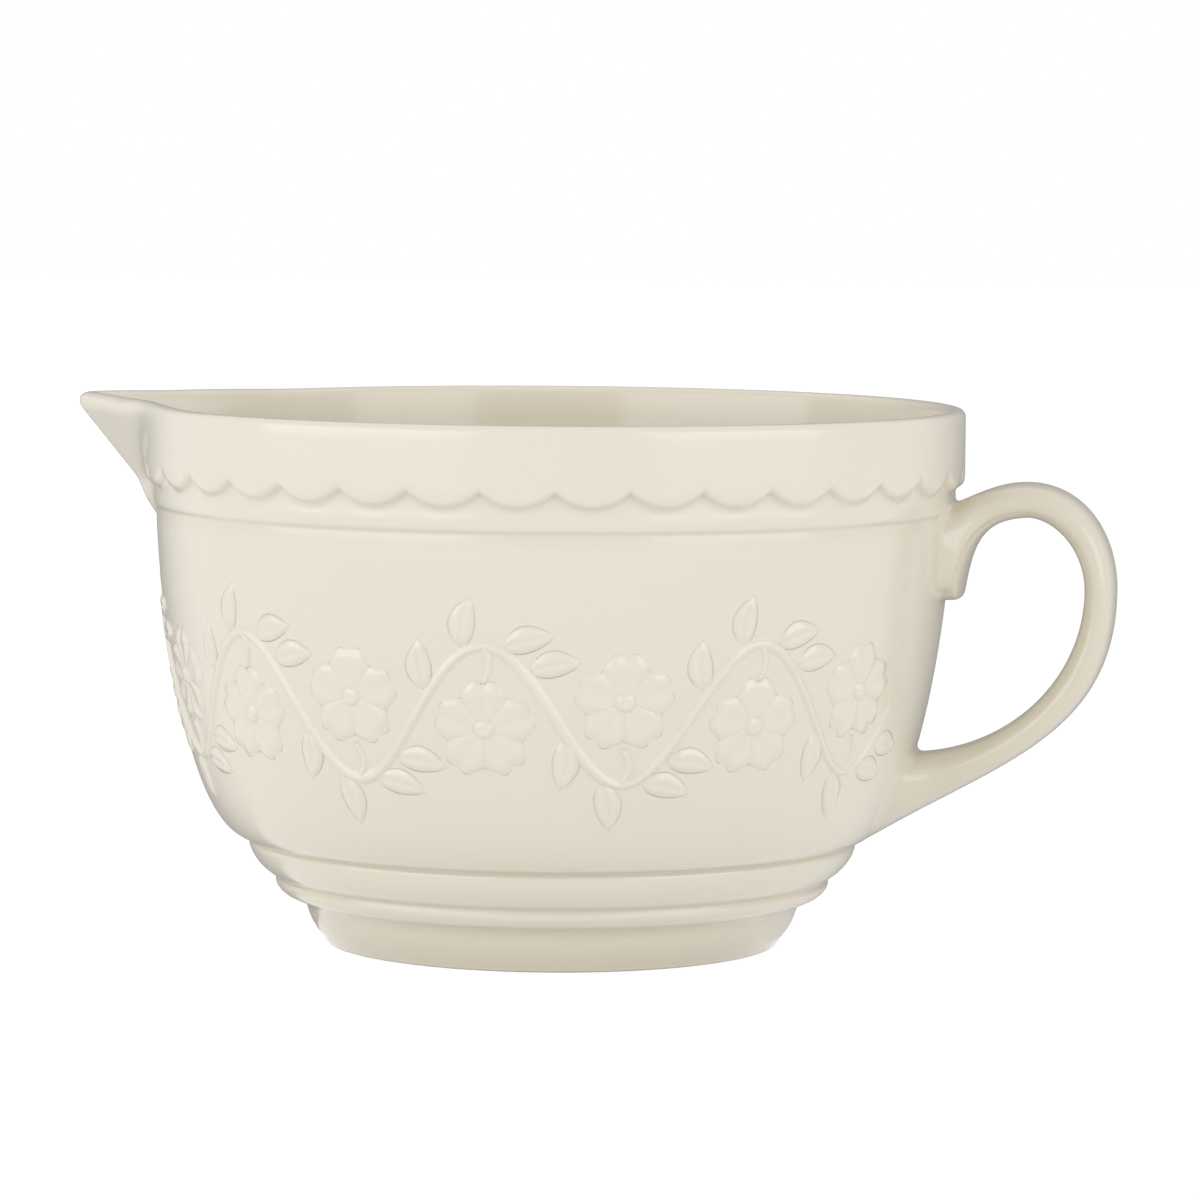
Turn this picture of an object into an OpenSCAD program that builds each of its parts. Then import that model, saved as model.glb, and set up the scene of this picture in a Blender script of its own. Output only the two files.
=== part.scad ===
// Batter bowl of glazed earthenware: a deep round bowl with a pinched V spout, a strap
// handle, a scalloped band under the rim, a moulded base and a running vine in low relief.
// The axis of the bowl is Z and the middle of its foot is the origin, on the table.
// The handle stands towards +X and the spout towards -X.

/* [Bowl] */
// Outside diameter across the rim band
rim_d = 210; // [180:1:240]
// Height of the rim above the table
bowl_h = 138.2; // [125:0.1:155]
// Thickness of the bowl's wall
wall_t = 4; // [3:0.1:5.5]
// Outside diameter where the wall springs from the base mouldings
wall_foot_d = 156; // [148:1:164]
// Thickness of the clay in the floor of the bowl
floor_t = 6.5; // [5:0.1:9]

/* [Band] */
// Thickness of the band laid round the rim, which is also the radius of the lip
band_t = 2.4; // [1.8:0.1:3]
// Height of the band, from the bottom of its lobes to the top of the rim
band_h = 19.9; // [16:0.1:24]
// Height of the plain strip that shows under the band
strip_h = 5.8; // [4:0.1:8]
// How far the plain strip stands out from the wall below it
strip_t = 0.6; // [0.4:0.1:1]
// Number of lobes round the band
lobes = 36; // [24:2:48]
// Depth of the lobes, from the points between them to their lowest line
lobe_h = 3.9; // [2:0.1:5]

/* [Base] */
// Diameter of the foot on the table
foot_d = 116.4; // [106:0.1:120]
// Height of the foot
foot_h = 12.2; // [10:0.1:15]
// How much wider the foot is at its top than on the table, on each side
foot_flare = 5.8; // [4:0.1:7]
// Width of the ring that the foot stands on
foot_ring_w = 5; // [4:0.1:8]
// Depth of the recess inside the foot
foot_recess = 4.5; // [2:0.1:6]
// Outside diameter of the narrow bead above the foot
bead_d = 142.4; // [136:0.1:146]
// Height of the bead
bead_h = 4.4; // [3:0.1:5]
// Height of the round roll above the bead
roll_h = 9.8; // [8:0.1:12]
// Depth of the grooves under and over the roll
groove_t = 0.9; // [0.5:0.1:1.2]

/* [Spout] */
// How far the tip of the spout stands out past the rim
spout_reach = 20.4; // [15:0.1:26]
// Height of the spout, from its lowest point on the wall to the rim
spout_h = 32.7; // [30:0.1:35]
// How far the keel's bend lies in from the tip
keel_in = 15.5; // [13:0.1:17]
// Height of the keel's bend above the lowest point of the spout
keel_h = 13; // [11:0.1:15]
// Angle between each side of the spout and its middle line, seen from above
spout_angle = 53; // [48:1:57]
// Radius of the rounded keel
keel_r = 2.6; // [2:0.1:3.5]
// Thickness of the spout's sides, measured level
spout_t = 4.6; // [4:0.1:5.5]
// How far the lip of the spout has risen above the rim at its tip
lip_rise = 1.6; // [0.6:0.1:2.4]
// Depth of the mouth in the bowl's wall, measured from the rim
mouth_h = 23.5; // [19:0.1:25]
// Radius of the rounded bottom of the channel
channel_r = 3.5; // [2.5:0.1:5]

/* [Handle] */
// How far the handle stands out past the rim
handle_reach = 39.4; // [32:0.1:48]
// Distance from the rim down to the top of the handle
handle_drop = 17.7; // [15:0.1:22]
// Thickness of the strap
strap_t = 8; // [6:0.1:10]
// Width of the strap
strap_w = 22.5; // [18:0.1:27]
// Width of the strap's ends on the wall
root_w = 39; // [32:0.1:44]
// Height of the strap's upper end on the wall
pad_h = 22.9; // [20:0.1:28]
// Thickness of the upper end where it stops on the wall
pad_t = 3.2; // [2.4:0.1:4.5]
// Height of the strap's lower end on the wall
heel_h = 18.6; // [16:0.1:22]
// Height of the handle's lowest point on the wall above the table
heel_z = 32.3; // [31:0.1:36]

/* [Relief] */
// Number of waves in the vine
waves = 8; // [6:1:9]
// Height of the middle of the vine above the table
vine_z = 68; // [65:0.1:72]
// Rise of the vine's waves above their middle line
vine_rise = 17; // [13:0.1:19]
// Width of the vine's stem
stem_w = 2.2; // [1.6:0.1:3]
// Height of the relief above the wall
relief_t = 0.9; // [0.5:0.1:1.4]
// Diameter of the blossoms
blossom_d = 25; // [19:0.1:27]
// Number of petals on each blossom
petals = 5; // [4:1:7]
// Length of the leaves
leaf_l = 12; // [9:0.1:14]
// Width of the leaves
leaf_w = 6; // [4:0.1:7]
// Plain wall left at each side of the middle of the handle
plain_w = 33; // [28:0.1:45]

/* [Hidden] */
$fn = 180;
bowl_glaze = [0.90, 0.87, 0.79];
band_glaze = [0.92, 0.89, 0.82];
spout_glaze = [0.89, 0.86, 0.78];
handle_glaze = [0.88, 0.85, 0.76];
relief_glaze = [0.95, 0.92, 0.85];
// Distance that a cutting shape runs past what it cuts
overrun = 5;
// Distance that the ends of the spout and the handle run inside the wall before they are trimmed
seat = wall_t * 0.8;
// Steps in a short arc, along the wall, along the inside and along each stretch of a rail
arc_steps = 6;
wall_steps = 26;
inside_steps = 12;
rail_steps = 10;

// Heights and radii shared by the sub-parts
rim_r = rim_d / 2;
strip_r = rim_r - band_t;
wall_top_r = strip_r - strip_t;
wall_foot_r = wall_foot_d / 2;
lip_z = bowl_h - band_t;
band_z = bowl_h - band_h;
strip_z = band_z - strip_h;
bead_z = foot_h + groove_t;
roll_z = foot_h + bead_h + groove_t;
wall_z = roll_z + roll_h + groove_t / 2;
floor_z = foot_recess + floor_t;

function mix(a, b, share) = a + (b - a) * share;
function tail(list) = [for (i = [1 : len(list) - 1]) list[i]];
function bezier(p, t) = pow(1 - t, 3) * p[0] + 3 * pow(1 - t, 2) * t * p[1]
    + 3 * (1 - t) * pow(t, 2) * p[2] + pow(t, 3) * p[3];
function curve(p, steps) = [for (i = [0 : steps]) bezier(p, i / steps)];
// Arc from a to b that swells by the given height to the right of the way from a to b
function arc(a, b, swell) =
    let (
        half = norm(b - a) / 2,
        along = (b - a) / (2 * half),
        right = [along[1], -along[0]],
        r = (half * half + swell * swell) / (2 * swell),
        centre = (a + b) / 2 + right * (swell - r),
        open = asin(half / r)
    )
    [for (i = [0 : arc_steps])
        let (turn = mix(-open, open, i / arc_steps))
        centre + r * (along * sin(turn) + right * cos(turn))];

// Outside radius of the wall at height z: a full belly over a tight turn above the base
belly_share = 1.54;
turn_share = 2.14;
function wall_share(z) = min(max((z - wall_z) / (strip_z - wall_z), 0), 1);
function wall_r(z) = mix(wall_foot_r, wall_top_r,
    pow(1 - pow(1 - wall_share(z), belly_share), 1 / turn_share));
// Angle by which the wall leans out from the upright at height z
function wall_lean(z) = atan2(wall_r(z + wall_t) - wall_r(z - wall_t), 2 * wall_t);

// Outside of the foot and the mouldings, from the table up, as points [radius, height]
foot_r = foot_d / 2;
bead_r = bead_d / 2;
shoulder_shares = [0.45, 0.26];
neck_shares = [0.9, 0.8];
function foot_point(shares) = [foot_r + foot_flare * shares[0], foot_h * shares[1]];
function base_outline() = concat(
    arc([foot_r, 0], foot_point(shoulder_shares), foot_flare / 12),
    arc(foot_point(neck_shares), [bead_r - bead_h / 2, bead_z], -bead_h / 6),
    tail(arc([bead_r - bead_h / 2, bead_z], [bead_r, roll_z - groove_t], bead_h / 5)),
    [[bead_r - groove_t, roll_z - groove_t / 2]],
    arc([bead_r + groove_t / 2, roll_z], [wall_foot_r, roll_z + roll_h - groove_t], roll_h / 7),
    [[wall_foot_r - groove_t, roll_z + roll_h - groove_t / 2]]);

// Outside of the wall and of the plain strip, up to the bottom of the band
function wall_outline() = concat(
    [for (i = [0 : wall_steps])
        let (z = mix(wall_z, strip_z, pow(i / wall_steps, 2)))
        [wall_r(z), z]],
    arc([strip_r - strip_t / 2, strip_z], [strip_r, band_z], strip_t / 2));

// Quarter round of the lip, from the angle start to start + 90
function lip_round(start) = [for (i = [0 : arc_steps])
    let (turn = start + 90 * i / arc_steps)
    [strip_r + band_t * cos(turn), lip_z + band_t * sin(turn)]];

// Inside of the bowl, from under the lip down to the middle of the floor
bend_share = 0.19;
bend_z = mix(wall_z, bowl_h, bend_share);
bend_r = wall_r(bend_z) - wall_t;
bend_l = (bend_z - floor_z) * 0.5;
floor_shares = [0.55, 0.28];
function inside_outline() = concat(
    [for (i = [0 : inside_steps])
        let (z = mix(strip_z, bend_z, i / inside_steps))
        [wall_r(z) - wall_t, z]],
    tail(curve([[bend_r, bend_z], [bend_r - bend_l * tan(wall_lean(bend_z)), bend_z - bend_l],
        [bend_r * floor_shares[0], floor_z], [bend_r * floor_shares[1], floor_z]], inside_steps)),
    [[0, floor_z]]);

// Recess inside the foot, from its middle out to the ring that stands on the table
function recess_outline() = [
    [0, foot_recess],
    [foot_r - foot_ring_w - foot_recess / 2, foot_recess],
    [foot_r - foot_ring_w, 0]];

module bowl_body() {
    color(bowl_glaze)
    difference() {
        rotate_extrude()
            polygon(concat(base_outline(), wall_outline(), lip_round(90), inside_outline(),
                recess_outline()));
        channel();
    }
}

// All that lies inside the outside of the bowl or over its rim, where nothing else may be.
// Its top climbs evenly from the rim to the tip of the spout.
lip_ramp = spout_reach + band_t;
module bowl_bulk() {
    rotate_extrude()
        polygon(concat([[0, 0]], base_outline(), wall_outline(),
            [[rim_r, band_z]], lip_round(0),
            [[strip_r + lip_ramp, bowl_h + lip_rise], [strip_r + lip_ramp, bowl_h + overrun],
                [0, bowl_h + overrun]]));
}

// Band round the rim: its lower edge is cut away under the points between the lobes
lobe_pitch = 2 * rim_r * sin(180 / lobes);
lobe_trim = lobe_h / 60;
lobe_sag = lobe_h + lobe_trim;
lobe_r = (lobe_pitch * lobe_pitch / 4 + lobe_sag * lobe_sag) / (2 * lobe_sag);
notch_w = lobe_pitch - sqrt(2 * lobe_r * lobe_trim);

module lobe_notch() {
    translate([strip_r - overrun, 0, band_z])
    rotate([90, 0, 90])
    linear_extrude(band_t + 2 * overrun)
    difference() {
        translate([-notch_w / 2, -overrun])
            square([notch_w, overrun + lobe_h + lobe_trim]);
        for (side = [-1, 1])
            translate([side * lobe_pitch / 2, lobe_r - lobe_trim])
                circle(lobe_r);
    }
}

// The notch at the spout, half way round, is left whole because the spout's root covers it
module scalloped_band() {
    color(band_glaze)
    difference() {
        rotate_extrude()
            polygon(concat([[strip_r, band_z], [rim_r, band_z]], lip_round(0)));
        for (i = [0 : lobes - 1])
            if (2 * i != lobes)
                rotate([0, 0, 360 * i / lobes])
                    lobe_notch();
        channel();
    }
}

// Solid through closed rings of points, each with as many points as the next
module loft(rings) {
    count = len(rings[0]);
    last = len(rings) - 1;
    sides = [for (j = [0 : last - 1]) for (i = [0 : count - 1])
        let (a = j * count + i, b = j * count + (i + 1) % count)
        each [[a, b, b + count], [a, b + count, a + count]]];
    ends = [
        [for (i = [count - 1 : -1 : 0]) i],
        [for (i = [0 : count - 1]) last * count + i]];
    polyhedron([for (ring = rings) each ring], concat(sides, ends));
}

// Spout: a V prow against the wall and the band, with a channel through to the inside
tip_r = rim_r + spout_reach;
tip_z = bowl_h + lip_rise;
keel_low_z = bowl_h - spout_h;
keel_bend = [tip_r - keel_in, keel_low_z + keel_h];
keel_low = [wall_r(keel_low_z) - seat / 2, keel_low_z - seat / 2];
lip_edge = spout_t * 0.4;
prow_back_r = rim_r - spout_reach;
nose_steps = 8;

// Level V that points along -X, from its back at back_r out to its rounded nose at reach
function vee(reach, z, nose_r, back_r) =
    let (
        turn = 90 - spout_angle,
        nose_x = reach - nose_r,
        back_y = nose_r * sin(turn) + (nose_x + nose_r * cos(turn) - back_r) * tan(spout_angle)
    )
    concat(
        [[-back_r, -back_y, z]],
        [for (i = [0 : nose_steps])
            let (angle = mix(-turn, turn, i / nose_steps))
            [-nose_x - nose_r * cos(angle), nose_r * sin(angle), z]],
        [[-back_r, back_y, z]]);

function keel() = concat(
    curve([keel_low, mix(keel_low, [keel_bend[0], keel_low[1]], 0.5) + [0, keel_h * 0.3],
        keel_bend - [keel_in * 0.06, keel_h * 0.45], keel_bend], rail_steps),
    [[tip_r, tip_z - lip_edge], [tip_r - lip_edge, tip_z]]);

module prow() {
    loft([for (k = keel()) vee(k[0], k[1], keel_r, prow_back_r)]);
}

// Channel, from the floor of the mouth in the wall up and out to the lip of the spout
mouth_z = bowl_h - mouth_h;
mouth_r = wall_r(mouth_z) - wall_t;
channel_tip_r = tip_r - spout_t / sin(spout_angle);
channel_back_r = mouth_r - mouth_h;
function channel_rows() =
    let (
        low = [mouth_r, mouth_z],
        high = [channel_tip_r, tip_z - lip_edge],
        below = low - (high - low) * 0.4
    )
    [below, high, high + [lip_edge, lip_edge], high + [lip_edge, overrun]];

module channel() {
    loft([for (k = channel_rows()) vee(k[0], k[1], channel_r, channel_back_r)]);
}

module spout() {
    color(spout_glaze)
    difference() {
        prow();
        bowl_bulk();
        channel();
    }
}

// Handle: a strap lofted between an outer rail and an inner rail, points [radius, height]
reach_r = rim_r + handle_reach;
top_z = bowl_h - handle_drop;
apex_share = 0.45;
apex_r = mix(strip_r, reach_r, apex_share);
grip_share = 0.69;
grip_z = mix(heel_z, top_z, grip_share);
pad_top = [strip_r - seat, strip_z + strip_h * 0.15];
pad_low = [wall_r(pad_top[1] - pad_h) + pad_t, pad_top[1] - pad_h];
heel_low = [wall_r(heel_z) - seat, heel_z - seat];
heel_top = [wall_r(heel_z + heel_h) - seat, heel_z + heel_h];
apex_t = strap_t * 1.11;
// Reach of each Bezier handle, as a share of the stretch that it shapes
outer_shares = [0.36, 0.4, 0.63, 0.52, 0.57, 0.55, 0.31];
inner_shares = [0.31, 0.63, 0.7, 0.435, 0.57, 0.51, 0.6];

function rail(start, lead, apex, grip, end, approach, s) = concat(
    curve([start, lead, [mix(apex[0], start[0], s[1]), apex[1]], apex], rail_steps),
    tail(curve([apex, [mix(apex[0], grip[0], s[2]), apex[1]],
        [grip[0], mix(grip[1], apex[1], s[3])], grip], rail_steps)),
    tail(curve([grip, [grip[0], mix(grip[1], end[1], s[4])], approach, end], 2 * rail_steps)));

outer_apex = [apex_r, top_z];
outer_grip = [reach_r, grip_z];
inner_apex = [apex_r, top_z - apex_t];
inner_grip = [reach_r - strap_t, grip_z];
outer_lead = mix(pad_top, [apex_r, top_z], outer_shares[0]);
outer_approach = [mix(heel_low[0], reach_r, outer_shares[5]), mix(heel_low[1], grip_z, outer_shares[6])];
inner_lead = [mix(pad_low[0], apex_r, inner_shares[0]), mix(pad_low[1], inner_apex[1], inner_shares[1])];
inner_approach = [mix(heel_top[0], inner_grip[0], inner_shares[6]), heel_top[1]];
outer_rail = rail(pad_top, outer_lead, outer_apex, outer_grip, heel_low, outer_approach, outer_shares);
inner_rail = rail(pad_low, inner_lead, inner_apex, inner_grip, heel_top, inner_approach,
    [0, inner_shares[2], inner_shares[3], inner_shares[4], inner_shares[5]]);

// Oval section across the strap, widening towards the wall
strap_points = 20;
oval_power = 0.8;
flare_l = root_w / 3;
function oval(c) = sign(c) * pow(abs(c), oval_power);
function strap_half_w(at) =
    let (near = min(max(1 - (at[0] - wall_r(at[1])) / flare_l, 0), 1))
    mix(strap_w, root_w, near * near) / 2;
function strap_ring(outer, inner) =
    let (centre = (outer + inner) / 2, half = (outer - inner) / 2, half_w = strap_half_w(centre))
    [for (i = [0 : strap_points - 1])
        let (turn = 360 * i / strap_points, at = centre + half * oval(cos(turn)))
        [at[0], half_w * oval(sin(turn)), at[1]]];

module handle() {
    rings = concat(
        [strap_ring(pad_top - [seat, 0], pad_low - [pad_t + seat, 0])],
        [for (i = [0 : len(outer_rail) - 1]) strap_ring(outer_rail[i], inner_rail[i])]);
    color(handle_glaze)
    difference() {
        loft(rings);
        bowl_bulk();
    }
}

// Point of the relief: u and v are measured along the wall from a place [angle, height]
function on_wall(place, uv, raise) =
    let (
        z = place[1] + uv[1] * cos(wall_lean(place[1])),
        lean = wall_lean(z),
        angle = place[0] + uv[0] / wall_r(z) * 180 / PI,
        r = wall_r(z) + raise * cos(lean)
    )
    [r * cos(angle), r * sin(angle), z - raise * sin(lean)];

function turned(uv, turn) = [
    uv[0] * cos(turn) - uv[1] * sin(turn),
    uv[0] * sin(turn) + uv[1] * cos(turn)];

// Low dome over a closed outline of [u, v] points, set on the wall at a place
dome_share = 0.45;
dome_rise_share = 0.85;
module raised(outline, middle, place, turn, raise) {
    count = len(outline);
    points = concat(
        [for (p = outline) on_wall(place, turned(p, turn), 0)],
        [for (p = outline)
            on_wall(place, turned(mix(p, middle, dome_share), turn), raise * dome_rise_share)],
        [on_wall(place, turned(middle, turn), raise), on_wall(place, turned(middle, turn), 0)]);
    faces = [for (i = [0 : count - 1])
        let (j = (i + 1) % count)
        each [[i, i + count, j + count], [i, j + count, j],
            [i + count, 2 * count, j + count], [i, j, 2 * count + 1]]];
    polyhedron(points, faces);
}

// Vine: a wave on the wall that starts and ends beside the handle
vine_start = asin(plain_w / wall_r(vine_z));
wave_angle = (360 - 2 * vine_start) / waves;
function vine_place(share) = [
    vine_start + wave_angle * share,
    vine_z + vine_rise * sin(360 * share)];
function wave_l() = wave_angle * PI / 180 * wall_r(vine_z);
function vine_turn(share) = atan2(2 * PI * vine_rise * cos(360 * share), wave_l());

stem_steps = 20;
stem_taper = 3;
module vine_stem() {
    stations = waves * stem_steps;
    rows = [for (i = [0 : stations])
        let (
            share = i / stem_steps,
            taper = min(1, (1 + min(i, stations - i)) / stem_taper),
            half = taper * stem_w / 2,
            place = vine_place(share),
            turn = vine_turn(share)
        )
        [on_wall(place, turned([0, -half], turn), 0), on_wall(place, [0, 0], taper * relief_t),
            on_wall(place, turned([0, half], turn), 0)]];
    color(relief_glaze)
    loft(rows);
}

// Leaf: pointed at both ends, widest a little past its middle
leaf_shares = [[0, 0], [0.22, 0.72], [0.5, 1], [0.78, 0.62], [1, 0], [0.78, -0.62], [0.5, -1],
    [0.22, -0.72]];
// Places of the leaves along one wave, with the side of the stem and the angle from it
leaf_places = [[0.04, 1, 38], [0.17, 1, 42], [0.30, 1, 40], [0.39, 1, 60], [0.54, -1, 38],
    [0.67, -1, 42], [0.80, -1, 40], [0.89, -1, 60]];
leaf_gap = stem_w / 2 + relief_t / 2;
module vine_leaves() {
    color(relief_glaze)
    for (wave = [0 : waves - 1])
        for (l = leaf_places)
            raised([for (p = leaf_shares) [p[0] * leaf_l + leaf_gap / sin(l[2]), -p[1] * leaf_w / 2]],
                [leaf_l / 2 + leaf_gap / sin(l[2]), 0], vine_place(wave + l[0]),
                vine_turn(l[0]) + l[1] * l[2], relief_t);
}

// Blossom: petals with a dip in their outer edge round a small eye
petal_shares = [[0, 0.22], [0.4, 0.74], [0.75, 1], [1, 0.55], [0.93, 0], [1, -0.55], [0.75, -1],
    [0.4, -0.74], [0, -0.22]];
petal_width_share = 0.75;
petal_middle_share = 0.68;
eye_share = 0.17;
eye_points = 10;
petal_gap = relief_t / 3;
module blossom(place) {
    blossom_r = blossom_d / 2;
    eye_r = blossom_r * eye_share;
    petal_l = blossom_r - eye_r - petal_gap;
    petal_w = blossom_r * petal_width_share * sin(180 / petals) - petal_gap / 2;
    for (i = [0 : petals - 1])
        raised([for (p = petal_shares) [eye_r + petal_gap + p[0] * petal_l, -p[1] * petal_w]],
            [blossom_r * petal_middle_share, 0], place, 90 + 360 * i / petals, relief_t);
    raised([for (i = [0 : eye_points - 1])
        eye_r * [cos(360 * i / eye_points), sin(360 * i / eye_points)]],
        [0, 0], place, 0, relief_t);
}

// A blossom hangs under each crest of the vine and stands over each trough
blossom_drop = vine_rise * 1.2;
module blossoms() {
    color(relief_glaze)
    for (wave = [0 : waves - 1])
        for (side = [-1, 1])
            blossom(vine_place(wave + 0.5 - side / 4) - [0, side * blossom_drop]);
}

bowl_body();
scalloped_band();
spout();
handle();
vine_stem();
vine_leaves();
blossoms();
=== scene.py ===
"""Batter bowl: the looks of the glazed bowl with its spout, handle, scalloped band and vine."""

import math

import bmesh
import bpy
from mathutils import Matrix, Vector
from mathutils.geometry import interpolate_bezier


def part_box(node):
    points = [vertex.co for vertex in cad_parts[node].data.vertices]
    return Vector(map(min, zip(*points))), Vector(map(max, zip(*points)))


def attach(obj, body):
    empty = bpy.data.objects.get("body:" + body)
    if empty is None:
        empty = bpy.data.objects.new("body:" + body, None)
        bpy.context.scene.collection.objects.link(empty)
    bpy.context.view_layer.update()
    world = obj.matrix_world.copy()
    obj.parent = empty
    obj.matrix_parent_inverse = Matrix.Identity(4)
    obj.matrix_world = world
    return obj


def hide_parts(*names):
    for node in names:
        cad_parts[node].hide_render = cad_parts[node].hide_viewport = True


bl_info = {
    "name": "Batter Bowl",
    "version": (1, 0, 0),
    "blender": (4, 5, 0),
    "location": "View3D > Sidebar > Batter Bowl",
    "description": "Builds a glazed batter bowl on its packed frame, with its studio",
    "category": "Mesh",
}

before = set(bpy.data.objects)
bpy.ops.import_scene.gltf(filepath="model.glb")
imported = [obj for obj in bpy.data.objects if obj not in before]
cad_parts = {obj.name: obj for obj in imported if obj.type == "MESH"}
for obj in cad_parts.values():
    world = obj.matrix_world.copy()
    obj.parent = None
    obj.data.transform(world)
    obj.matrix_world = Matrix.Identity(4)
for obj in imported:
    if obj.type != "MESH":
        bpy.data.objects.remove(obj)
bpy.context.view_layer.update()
band_low, band_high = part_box("scalloped_band")
body_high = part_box("bowl_body")[1]
spout_low, spout_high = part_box("spout")
handle_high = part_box("handle")[1]

MM = 0.001
RIM_RADIUS = band_high[0]
RIM_HEIGHT = body_high[2]


def length(name, description, default):
    """A size of the bowl, in metres."""
    return bpy.props.FloatProperty(
        name=name, description=description, default=default, min=0, unit="LENGTH", precision=5
    )


def share(name, description, default):
    """A number from 0 to 1."""
    return bpy.props.FloatProperty(
        name=name, description=description, default=default, min=0, max=1, subtype="FACTOR"
    )


def colour(name, description, default):
    """A colour of the glaze or the stage."""
    return bpy.props.FloatVectorProperty(
        name=name, description=description, default=default, min=0, max=1, size=3, subtype="COLOR"
    )


class BowlSizes(bpy.types.PropertyGroup):
    """Sizes of the bowl, its band and its spout."""

    rim_radius: length("Rim radius", "Outside radius of the band", RIM_RADIUS)
    rim_height: length("Rim height", "Height of the rim above the table", RIM_HEIGHT)
    wall: length("Wall", "Thickness of the wall", 4 * MM)
    band: length("Band", "How far the band stands out", 2.4 * MM)
    band_height: length("Band height", "From the lobes to the rim", band_high[2] - band_low[2])
    lobe_depth: length("Lobe depth", "Depth of the scallops", 3.9 * MM)
    spout_reach: length("Spout reach", "Tip of the spout from the axis", -spout_low[0])
    spout_wall: length("Spout wall", "Thickness of the spout's sides", 4.6 * MM)
    lip_rise: length("Lip rise", "Rise of the spout over the rim", spout_high[2] - RIM_HEIGHT)
    lobes: bpy.props.IntProperty(
        name="Lobes", description="Scallops round the band", default=36, min=8, max=90
    )
    spout_angle: bpy.props.FloatProperty(
        name="Spout angle",
        description="Between the spout's middle line and its sides",
        default=math.radians(53),
        subtype="ANGLE",
    )


class HandleSizes(bpy.types.PropertyGroup):
    """Sizes of the strap handle."""

    reach: length("Reach", "Outermost point of the handle from the axis", handle_high[0])
    top: length("Top", "Height of the handle's highest point", handle_high[2])
    strap: length("Strap", "Thickness of the strap at the grip", 8 * MM)
    width: length("Width", "Width of the strap", 22.5 * MM)
    root_width: length("Root width", "Width of its ends on the wall", 34 * MM)


class VineSizes(bpy.types.PropertyGroup):
    """Sizes of the running vine."""

    waves: bpy.props.IntProperty(
        name="Waves", description="Waves of the vine round the wall", default=8, min=4, max=12
    )
    height: length("Height", "Middle line of the vine above the table", 68 * MM)
    rise: length("Rise", "How far the waves rise above the middle line", 17 * MM)
    plain: length("Plain wall", "Bare wall beside the handle", 33 * MM)
    stem: length("Stem", "Width of the stem", 2.2 * MM)
    relief: length("Relief", "Height of the relief above the wall", 0.75 * MM)
    leaf: length("Leaf", "Length of a leaf", 12 * MM)
    leaf_width: length("Leaf width", "Width of a leaf", 6 * MM)
    blossom: length("Blossom", "Radius of a blossom", 12.5 * MM)


class GlazeLook(bpy.types.PropertyGroup):
    """Colours and gloss of the glaze."""

    cream: colour("Cream", "The glaze where it lies evenly", (0.788, 0.732, 0.62))
    # The pooled colour also paints shade, and the thin colour also paints highlights
    pooled_and_shade: colour("Pooled", "The glaze where it has run thick", (0.55, 0.49, 0.35))
    thin_and_sheen: colour("Thin", "The glaze over raised edges", (0.82, 0.775, 0.675))
    clay: colour("Clay", "The bare clay under the foot", (0.62, 0.50, 0.36))
    gloss: share("Roughness", "Roughness of the glaze", 0.2)


class StageLook(bpy.types.PropertyGroup):
    """Lamps and floor of the studio."""

    floor: colour("Floor", "Colour of the floor", (0.9, 0.9, 0.9))
    ambient: share("Ambient", "Strength of the light from all round", 0.72)
    screen: share("Screen", "Brightness of the screen behind the bowl", 0.3)
    soft_box: bpy.props.FloatProperty(
        name="Soft boxes", description="Power of the right lamp in watts", default=5.8, min=0
    )


class BatterBowl(bpy.types.PropertyGroup):
    """All settings of the bowl."""

    bowl: bpy.props.PointerProperty(type=BowlSizes)
    handle: bpy.props.PointerProperty(type=HandleSizes)
    vine: bpy.props.PointerProperty(type=VineSizes)
    glaze: bpy.props.PointerProperty(type=GlazeLook)
    stage: bpy.props.PointerProperty(type=StageLook)


def mix(a, b, t):
    """The value t of the way from a to b."""
    return a + (b - a) * t


def smooth_step(low, high, x):
    """Rises smoothly from 0 at low to 1 at high."""
    t = min(max((x - low) / (high - low), 0), 1)
    return t * t * (3 - 2 * t)


def soft_max(a, b, blend):
    """The larger of two values, with the corner between them filled over a width."""
    near = max(blend - abs(a - b), 0) / blend
    return max(a, b) + near * near * blend / 4


def hump(x, width):
    """A bell curve: 1 at 0, and next to nothing two widths away."""
    return math.exp(-((x / width) ** 2))


def squared(c, power):
    """A cosine or sine that draws a circle squarer below a power of 1, and pointed above it."""
    return math.copysign(abs(c) ** power, c)


# The wall's foot over the mouldings and its top under the strip, as (radius, height), the powers
# of the curve between them, and how far the strip stands out over it
WALL_FOOT = (78 * MM, 27.75 * MM)
WALL_TOP = (102 * MM, 112.5 * MM)
WALL_POWERS = (1.54, 2.14)
STRIP_STEP = 0.7 * MM


def wall_radius(z):
    """Outside radius of the wall at a height: a full belly over a tight turn."""
    t = min(max((z - WALL_FOOT[1]) / (WALL_TOP[1] - WALL_FOOT[1]), 0), 1)
    fall, spread = WALL_POWERS
    return mix(WALL_FOOT[0], WALL_TOP[0], (1 - (1 - t) ** fall) ** (1 / spread))


def wall_lean(z):
    """Angle of the wall from the upright at a height."""
    step = 4 * MM
    return math.atan2(wall_radius(z + step) - wall_radius(z - step), 2 * step)


def skin_radius(z):
    """Outside radius of the wall, or of the plain strip above it."""
    return wall_radius(z) + STRIP_STEP * smooth_step(WALL_TOP[1], WALL_TOP[1] + 1 * MM, z)
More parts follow.
